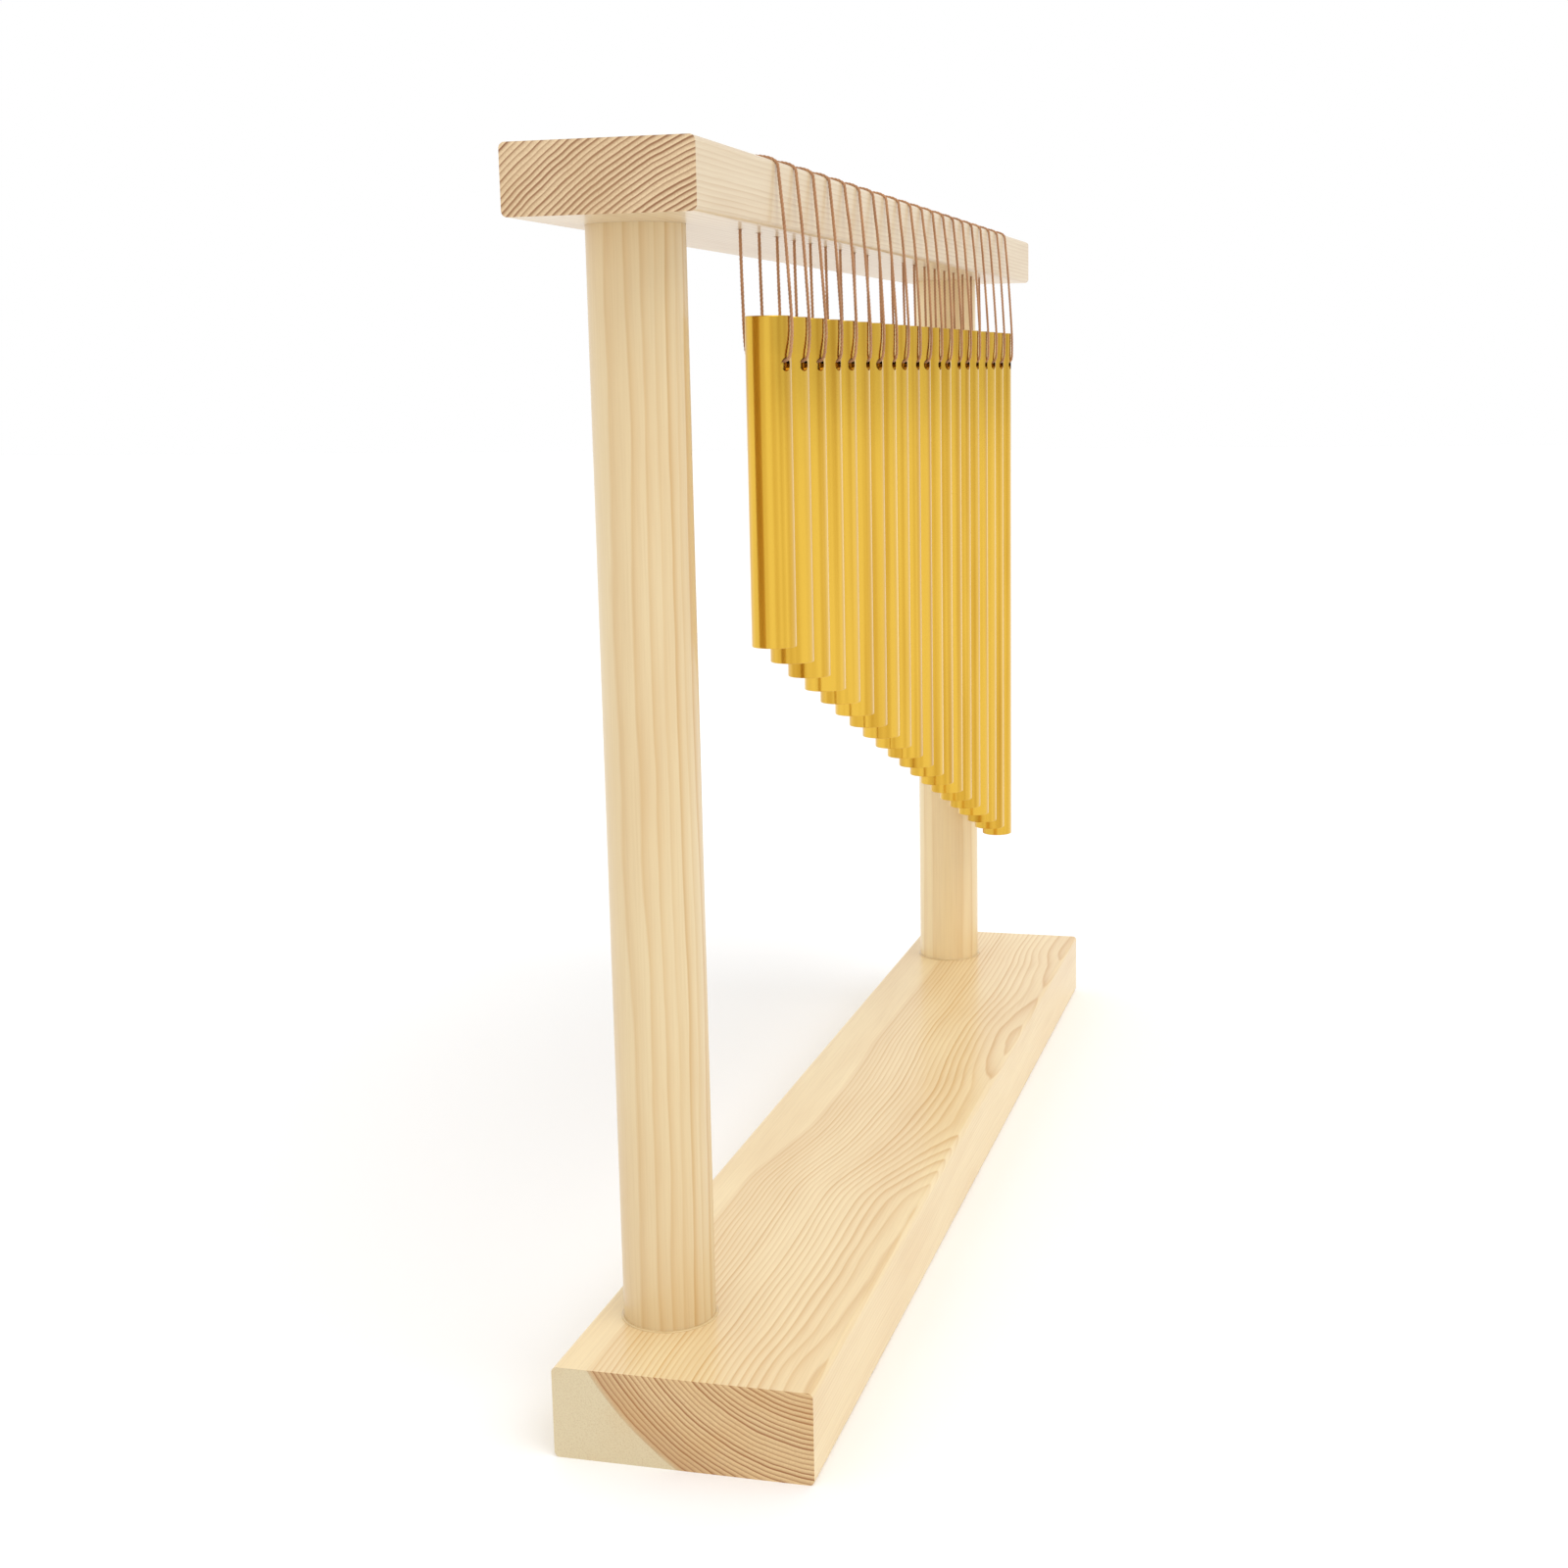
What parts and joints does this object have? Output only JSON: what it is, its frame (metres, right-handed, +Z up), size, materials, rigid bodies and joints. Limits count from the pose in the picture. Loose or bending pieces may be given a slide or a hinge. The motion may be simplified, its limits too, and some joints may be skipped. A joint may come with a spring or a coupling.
{
  "type": "tabletop bar chime",
  "caption": "Tabletop bar chime: a row of gold metal tubes of rising length, each hung by a brown cord loop from a flat pine bar on two round pine posts and a pine base board.",
  "frame": {"origin": "centre of the base board's underside, which is the centre of the footprint on the table", "axes": "+X along the row from the shortest tube to the longest, +Y from the side whose face the cords wrap towards the side near the posts, +Z up"},
  "size_m": [0.455, 0.07, 0.3322],
  "materials": {
    "pine": "satin lacquer",
    "gold_tube": "gold anodised, bright satin",
    "cord": "twisted thread",
    "zinc": "zinc plated"
  },
  "bodies": {
    "stand": {"base_board": "pine", "top_bar": "pine", "post_short_end": "pine", "post_long_end": "pine", "post_screws": "zinc"},
    "chime_01": {"tube_01": "gold_tube", "cord_01": "cord"},
    "chime_02": {"tube_02": "gold_tube", "cord_02": "cord"},
    "chime_03": {"tube_03": "gold_tube", "cord_03": "cord"},
    "chime_04": {"tube_04": "gold_tube", "cord_04": "cord"},
    "chime_05": {"tube_05": "gold_tube", "cord_05": "cord"},
    "chime_06": {"tube_06": "gold_tube", "cord_06": "cord"},
    "chime_07": {"tube_07": "gold_tube", "cord_07": "cord"},
    "chime_08": {"tube_08": "gold_tube", "cord_08": "cord"},
    "chime_09": {"tube_09": "gold_tube", "cord_09": "cord"},
    "chime_10": {"tube_10": "gold_tube", "cord_10": "cord"},
    "chime_11": {"tube_11": "gold_tube", "cord_11": "cord"},
    "chime_12": {"tube_12": "gold_tube", "cord_12": "cord"},
    "chime_13": {"tube_13": "gold_tube", "cord_13": "cord"},
    "chime_14": {"tube_14": "gold_tube", "cord_14": "cord"},
    "chime_15": {"tube_15": "gold_tube", "cord_15": "cord"},
    "chime_16": {"tube_16": "gold_tube", "cord_16": "cord"},
    "chime_17": {"tube_17": "gold_tube", "cord_17": "cord"},
    "chime_18": {"tube_18": "gold_tube", "cord_18": "cord"},
    "chime_19": {"tube_19": "gold_tube", "cord_19": "cord"},
    "chime_20": {"tube_20": "gold_tube", "cord_20": "cord"}
  },
  "joints": [
    {"name": "chime_01_swing", "type": "hinge", "parent": "stand", "child": "chime_01", "pos_m": [-0.16185, -0.01, 0.3125], "axis": [1, 0, 0], "range_deg": [-25, 25], "deforming": ["cord_01"]},
    {"name": "chime_02_swing", "type": "hinge", "parent": "stand", "child": "chime_02", "pos_m": [-0.14455, -0.01, 0.3125], "axis": [1, 0, 0], "range_deg": [-25, 25], "deforming": ["cord_02"]},
    {"name": "chime_03_swing", "type": "hinge", "parent": "stand", "child": "chime_03", "pos_m": [-0.12725, -0.01, 0.3125], "axis": [1, 0, 0], "range_deg": [-25, 25], "deforming": ["cord_03"]},
    {"name": "chime_04_swing", "type": "hinge", "parent": "stand", "child": "chime_04", "pos_m": [-0.10995, -0.01, 0.3125], "axis": [1, 0, 0], "range_deg": [-25, 25], "deforming": ["cord_04"]},
    {"name": "chime_05_swing", "type": "hinge", "parent": "stand", "child": "chime_05", "pos_m": [-0.09265, -0.01, 0.3125], "axis": [1, 0, 0], "range_deg": [-25, 25], "deforming": ["cord_05"]},
    {"name": "chime_06_swing", "type": "hinge", "parent": "stand", "child": "chime_06", "pos_m": [-0.07535, -0.01, 0.3125], "axis": [1, 0, 0], "range_deg": [-25, 25], "deforming": ["cord_06"]},
    {"name": "chime_07_swing", "type": "hinge", "parent": "stand", "child": "chime_07", "pos_m": [-0.05805, -0.01, 0.3125], "axis": [1, 0, 0], "range_deg": [-25, 25], "deforming": ["cord_07"]},
    {"name": "chime_08_swing", "type": "hinge", "parent": "stand", "child": "chime_08", "pos_m": [-0.04075, -0.01, 0.3125], "axis": [1, 0, 0], "range_deg": [-25, 25], "deforming": ["cord_08"]},
    {"name": "chime_09_swing", "type": "hinge", "parent": "stand", "child": "chime_09", "pos_m": [-0.02345, -0.01, 0.3125], "axis": [1, 0, 0], "range_deg": [-25, 25], "deforming": ["cord_09"]},
    {"name": "chime_10_swing", "type": "hinge", "parent": "stand", "child": "chime_10", "pos_m": [-0.00615, -0.01, 0.3125], "axis": [1, 0, 0], "range_deg": [-25, 25], "deforming": ["cord_10"]},
    {"name": "chime_11_swing", "type": "hinge", "parent": "stand", "child": "chime_11", "pos_m": [0.01115, -0.01, 0.3125], "axis": [1, 0, 0], "range_deg": [-25, 25], "deforming": ["cord_11"]},
    {"name": "chime_12_swing", "type": "hinge", "parent": "stand", "child": "chime_12", "pos_m": [0.02845, -0.01, 0.3125], "axis": [1, 0, 0], "range_deg": [-25, 25], "deforming": ["cord_12"]},
    {"name": "chime_13_swing", "type": "hinge", "parent": "stand", "child": "chime_13", "pos_m": [0.04575, -0.01, 0.3125], "axis": [1, 0, 0], "range_deg": [-25, 25], "deforming": ["cord_13"]},
    {"name": "chime_14_swing", "type": "hinge", "parent": "stand", "child": "chime_14", "pos_m": [0.06305, -0.01, 0.3125], "axis": [1, 0, 0], "range_deg": [-25, 25], "deforming": ["cord_14"]},
    {"name": "chime_15_swing", "type": "hinge", "parent": "stand", "child": "chime_15", "pos_m": [0.08035, -0.01, 0.3125], "axis": [1, 0, 0], "range_deg": [-25, 25], "deforming": ["cord_15"]},
    {"name": "chime_16_swing", "type": "hinge", "parent": "stand", "child": "chime_16", "pos_m": [0.09765, -0.01, 0.3125], "axis": [1, 0, 0], "range_deg": [-25, 25], "deforming": ["cord_16"]},
    {"name": "chime_17_swing", "type": "hinge", "parent": "stand", "child": "chime_17", "pos_m": [0.11495, -0.01, 0.3125], "axis": [1, 0, 0], "range_deg": [-25, 25], "deforming": ["cord_17"]},
    {"name": "chime_18_swing", "type": "hinge", "parent": "stand", "child": "chime_18", "pos_m": [0.13225, -0.01, 0.3125], "axis": [1, 0, 0], "range_deg": [-25, 25], "deforming": ["cord_18"]},
    {"name": "chime_19_swing", "type": "hinge", "parent": "stand", "child": "chime_19", "pos_m": [0.14955, -0.01, 0.3125], "axis": [1, 0, 0], "range_deg": [-25, 25], "deforming": ["cord_19"]},
    {"name": "chime_20_swing", "type": "hinge", "parent": "stand", "child": "chime_20", "pos_m": [0.16685, -0.01, 0.3125], "axis": [1, 0, 0], "range_deg": [-25, 25], "deforming": ["cord_20"]}
  ]
}
